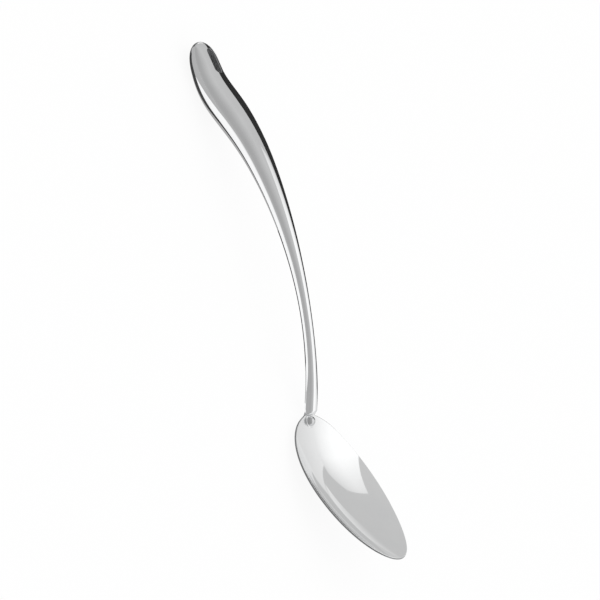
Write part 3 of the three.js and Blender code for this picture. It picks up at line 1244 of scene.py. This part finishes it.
@dataclass(frozen=True)
class Card:
    """A flat reflector or flag beside the spoon, seen only in its polish.

    Attributes:
        name: Name of the card.
        corners: Corners in metres.
        shade: Brightness, with 1 as white.
        fade_x: Two places along X in metres and the share of the shade at each.
        fade_y: The same along Y.
    """

    name: str
    corners: tuple[tuple[float, float, float], ...]
    shade: float
    fade_x: tuple[float, float, float, float] = (0.0, 1.0, 1.0, 1.0)
    fade_y: tuple[float, float, float, float] = (0.0, 1.0, 1.0, 1.0)

    @classmethod
    def level(
        cls,
        name: str,
        height: float,
        spots: tuple[tuple[float, float], ...],
        shade: float,
        **fades: tuple[float, float, float, float],
    ) -> "Card":
        """A card that lies level at one height, with the places of its corners along X and Y."""
        return cls(name, tuple((x, y, height) for x, y in spots), shade, **fades)

    def build(self) -> None:
        """Cuts the card and puts it on the stage, where only the polish sees it."""
        shape = bmesh.new()
        edges = ring(shape, [Vector(corner) for corner in self.corners])
        bmesh.ops.edgeloop_fill(shape, edges=edges)
        card = set_on_stage(self.name, shape, self._paint())
        card.visible_camera = False
        card.visible_diffuse = False
        card.visible_shadow = False

    def _paint(self) -> bpy.types.Material:
        """Mixes a glow that fades along X and along Y.

        Returns:
            The card's material.
        """
        made = bare_material(self.name)
        tree = made.node_tree
        where = add(tree, "TexCoord")
        parts = add(tree, "SeparateXYZ")
        both = add(tree, "Math", operation="MULTIPLY")
        glow = add(tree, "Emission", {"Color": (self.shade, self.shade, self.shade, 1.0)})
        join(
            tree,
            (where, "Object", parts, 0),
            (both, 0, glow, "Strength"),
            (glow, 0, tree.nodes["Material Output"], "Surface"),
        )
        names = ("From Min", "From Max", "To Min", "To Max")
        for number, fade in enumerate((self.fade_x, self.fade_y)):
            share = add(tree, "MapRange", dict(zip(names, fade)))
            join(
                tree,
                (parts, number, share, "Value"),
                (share, "Result", both, number),
            )
        return made


@dataclass
class Studio:
    """Floor, cards, light and camera of the photograph."""

    floor_size: float = 6.0
    floor_drop: float = 0.0002
    floor_white: float = 0.96
    floor_glow: float = 0.9
    mirror_glow: float = 0.75
    mirror_lift: float = 0.15
    azimuth: float = 9.0385
    elevation: float = 31.8935
    roll: float = -67.669
    distance: float = 2.170178
    aim: tuple[float, float, float] = (0.001924, 0.0, 0.022756)
    lens: float = 216.0
    wall_shades: tuple[tuple[float, float], ...] = (
        (0.0, 0.47),
        (0.10, 0.43),
        (0.22, 0.45),
        (0.36, 0.53),
        (0.50, 0.61),
        (0.62, 0.59),
        (1.0, 0.56),
    )

    def build(self) -> None:
        """Sets up the whole studio."""
        self._floor()
        self._room()
        for card in self._cards():
            card.build()
            log.info("card %s", card.name)
        self._camera()
        bpy.context.scene.view_settings.view_transform = "Standard"

    def _floor(self) -> None:
        """Lays the white floor, which keeps a faint shadow."""
        shape = bmesh.new()
        bmesh.ops.create_grid(shape, x_segments=1, y_segments=1, size=self.floor_size)
        made = bare_material("floor_white")
        tree = made.node_tree
        paint = add(tree, "BsdfDiffuse", {"Color": (self.floor_white,) * 3 + (1.0,)})
        glow = add(tree, "Emission")
        path = add(tree, "LightPath")
        seen = add(tree, "Math", {1: self.floor_glow}, operation="MULTIPLY")
        mirrored = add(tree, "Math", {1: self.mirror_glow}, operation="MULTIPLY_ADD")
        strength = add(tree, "Math", {1: self.mirror_lift, 2: 1.0}, operation="MULTIPLY_ADD")
        mix = add(tree, "MixShader")
        join(
            tree,
            (path, "Is Camera Ray", seen, 0),
            (path, "Is Glossy Ray", mirrored, 0),
            (seen, 0, mirrored, 2),
            (path, "Is Glossy Ray", strength, 0),
            (strength, 0, glow, "Strength"),
            (mirrored, 0, mix, 0),
            (paint, 0, mix, 1),
            (glow, 0, mix, 2),
            (mix, 0, tree.nodes["Material Output"], "Surface"),
        )
        floor = set_on_stage("floor", shape, made)
        floor.location.z = -self.floor_drop

    def _room(self) -> None:
        """Fills the room with even light, and gives the polish a graded wall and ceiling to mirror."""
        world = bpy.data.worlds.new("room")
        bpy.context.scene.world = world
        world.use_nodes = True
        tree = world.node_tree
        where = add(tree, "TexCoord")
        parts = add(tree, "SeparateXYZ")
        front = add(tree, "Math", {1: -1.0}, operation="MULTIPLY")
        angle = add(tree, "Math", operation="ARCTAN2")
        share = add(tree, "Math", {1: math.pi}, operation="DIVIDE")
        ramp = add(tree, "ValToRGB")
        stops = ramp.color_ramp.elements
        while len(stops) < len(self.wall_shades):
            stops.new(0.5)
        for stop, (place, shade) in zip(stops, self.wall_shades):
            stop.position = place
            stop.color = (shade, shade, shade, 1.0)
        even = tree.nodes["Background"]
        even.inputs["Color"].default_value = (1.0, 1.0, 1.0, 1.0)
        walls = add(tree, "Background")
        path = add(tree, "LightPath")
        mix = add(tree, "MixShader")
        join(
            tree,
            (where, "Generated", parts, 0),
            (parts, "Y", front, 0),
            (parts, "Z", angle, 0),
            (front, 0, angle, 1),
            (angle, 0, share, 0),
            (share, 0, ramp, 0),
            (ramp, "Color", walls, "Color"),
            (path, "Is Glossy Ray", mix, 0),
            (even, 0, mix, 1),
            (walls, 0, mix, 2),
            (mix, 0, tree.nodes["World Output"], "Surface"),
        )

    def _cards(self) -> list[Card]:
        """Plans the cards that stand round the spoon.

        Returns:
            The cards that stand round the spoon.
        """
        flag = Card(
            "dark_flag",
            (
                (-0.215, 0.06, 0.0),
                (-0.205, 0.06, 0.052),
                (-0.170, 0.06, 0.072),
                (-0.120, 0.06, 0.080),
                (-0.060, 0.06, 0.074),
                (0.020, 0.06, 0.054),
                (0.070, 0.06, 0.043),
                (0.070, 0.06, 0.0),
            ),
            0.03,
        )
        ceiling = Card.level(
            "white_ceiling",
            0.6,
            (
                (0.100, -0.033), (-0.129, 0.130), (-0.330, 0.273), (-0.315, 0.596),
                (-0.208, 0.847), (1.500, 0.900), (1.500, -0.033),
            ),
            1.1,
            fade_x=(-0.33, -0.06, 0.74, 1.0),
            fade_y=(0.35, 0.85, 1.0, 0.76),
        )
        back = Card(
            "pale_back",
            ((-0.135, 0.78, 0.0), (-0.135, 0.84, 0.62), (1.5, 0.84, 0.62), (1.5, 0.78, 0.0)),
            0.77,
            fade_y=(0.78, 0.84, 0.94, 1.12),
        )
        sweep = Card(
            "pale_sweep",
            ((-0.9, 0.78, 0.0), (-0.9, 0.78, 0.16), (-0.135, 0.78, 0.23), (-0.135, 0.78, 0.0)),
            0.80,
            fade_x=(-0.34, -0.16, 0.71, 1.0),
        )
        behind = Card.level(
            "grey_behind",
            0.0001,
            ((-0.10, 0.075), (0.40, 0.075), (0.40, 0.78), (-0.40, 0.78)),
            0.60,
        )
        front = Card.level(
            "fading_front",
            0.0002,
            (
                (-0.160, -0.060), (-0.012, -0.060), (-0.030, -0.300), (-0.030, -4.0),
                (-1.065, -4.0), (-1.065, -2.060),
            ),
            1.05,
            fade_y=(-0.19, -0.07, 0.44, 1.0),
        )
        # Painted shadow: a dark card on the floor under the grip's end and the slot, seen only in the
        # polish, stands in for the shade there.
        end = Card.level(
            "painted_shadow_under_end",
            0.0003,
            (
                (-0.200, -0.0040), (-0.172, -0.0040), (-0.157, -0.0055), (-0.157, 0.0450),
                (-0.200, 0.0450),
            ),
            0.13,
        )
        # Painted shadow: a grey card on the floor beneath the handle, seen only in the polish, stands
        # in for the shade under it.
        under = Card.level(
            "painted_shadow_under_handle",
            0.0002,
            (
                (-0.158, -0.0060), (-0.150, -0.0080), (-0.115, -0.0110), (-0.050, -0.0060),
                (0.060, -0.0040), (0.060, 0.0080), (-0.050, 0.0100), (-0.115, 0.0140),
                (-0.158, 0.0140),
            ),
            0.45,
        )
        # Painted shadow: a dark strip on the floor along the grip's near edge, seen only in the
        # polish, stands in for its contact shadow.
        edge = Card.level(
            "painted_shadow_grip_edge",
            0.0003,
            (
                (-0.172, -0.0040), (-0.169, -0.0125), (-0.150, -0.0148), (-0.115, -0.0165),
                (-0.090, -0.0145), (-0.045, -0.0095), (-0.045, -0.0060), (-0.090, -0.0085),
                (-0.115, -0.0105), (-0.150, -0.0075), (-0.164, -0.0020),
            ),
            0.06,
        )
        # Painted shadow: a dark strip on the floor under the stem, seen only in the polish, stands in
        # for the shade beneath it.
        shadow_stem_edge = Card.level(
            "painted_shadow_stem_edge",
            0.0003,
            ((-0.045, -0.0085), (0.035, -0.0065), (0.042, 0.0160), (-0.045, 0.0120)),
            0.05,
        )
        left = Card.level(
            "grey_left",
            0.00025,
            (
                (-4.0, 1.5), (-0.176, 0.012), (-0.168, -0.0120), (-0.151, -0.0140),
                (-0.147, -0.0200), (-0.141, -0.0350), (-0.130, -0.0600), (-0.105, -0.1900),
                (-0.105, -0.4000), (-1.065, -2.060), (-4.0, -2.060),
            ),
            0.50,
        )
        right = Card.level(
            "grey_front",
            0.0001,
            (
                (0.053, -0.0065), (0.046, -0.0180), (0.036, -0.0450), (0.020, -0.0750),
                (-0.012, -0.110), (-0.030, -0.300), (-0.030, -4.0), (1.5, -4.0),
                (1.5, -0.0065),
            ),
            0.45,
        )
        return [flag, ceiling, back, sweep, behind, front, end, under, edge, shadow_stem_edge, left, right]

    def _camera(self) -> None:
        """Stands the camera where the photograph was taken."""
        lens = bpy.data.cameras.new("camera")
        lens.lens = self.lens
        lens.sensor_width = 36.0
        lens.clip_start = 0.05
        lens.clip_end = 50.0
        camera = bpy.data.objects.new("camera", lens)
        camera.matrix_world = (
            Matrix.Translation(self.aim)
            @ Matrix.Rotation(math.radians(self.azimuth), 4, "Z")
            @ Matrix.Rotation(math.radians(90 - self.elevation), 4, "X")
            @ Matrix.Rotation(math.radians(-self.roll), 4, "Z")
            @ Matrix.Translation((0.0, 0.0, self.distance))
        )
        bpy.context.scene.collection.objects.link(camera)
        bpy.context.scene.camera = camera


def main() -> None:
    """Builds the spoon piece by piece and sets up the studio."""
    logging.basicConfig(level=logging.INFO, format="%(name)s %(message)s")
    pose = RestPose()
    bowl = BowlForm()
    handle = HandleForm(bowl)
    slot = SlotForm(handle)
    mirror = SteelFinish(
        name="mirror_steel",
        clean=(0.88, 0.885, 0.89),
        hazed=(0.84, 0.845, 0.85),
        gloss=(0.03, 0.07),
        haze_scale=60.0,
        line_scale=3000.0,
        line_depth=0.02,
    )
    hollow = SteelFinish(
        name="hollow_steel",
        clean=(0.92, 0.925, 0.925),
        hazed=(0.89, 0.895, 0.90),
        gloss=(0.04, 0.09),
        haze_scale=45.0,
        line_scale=2500.0,
        line_depth=0.02,
    )
    # Rough drawn steel for the inside of the slot's sleeve; its darker colour is also painted shade
    # deep in the slot.
    drawn_shaded = SteelFinish(
        name="drawn_steel_painted_shade",
        clean=(0.66, 0.665, 0.67),
        hazed=(0.58, 0.585, 0.59),
        gloss=(0.30, 0.40),
        haze_scale=150.0,
        line_scale=4000.0,
        line_depth=0.01,
    )
    buffed = SteelFinish(
        name="buffed_steel",
        clean=(0.66, 0.665, 0.67),
        hazed=(0.58, 0.585, 0.59),
        gloss=(0.12, 0.20),
        haze_scale=400.0,
        line_scale=6000.0,
        line_depth=0.05,
    )
    ground = SteelFinish(
        name="ground_steel",
        clean=(0.36, 0.365, 0.37),
        hazed=(0.28, 0.285, 0.29),
        gloss=(0.25, 0.35),
        haze_scale=300.0,
        line_scale=4000.0,
        line_depth=0.03,
    )
    Bowl(pose, hollow, bowl, ground).build()
    Stem(pose, mirror, bowl, handle).build()
    for half in Half:
        GripShell(pose, mirror, handle, slot, half).build()
    SlotSleeve(pose, drawn_shaded, slot, mirror).build()
    Rivet(pose, buffed, bowl).build()
    Studio().build()


if __name__ == "__main__":
    main()
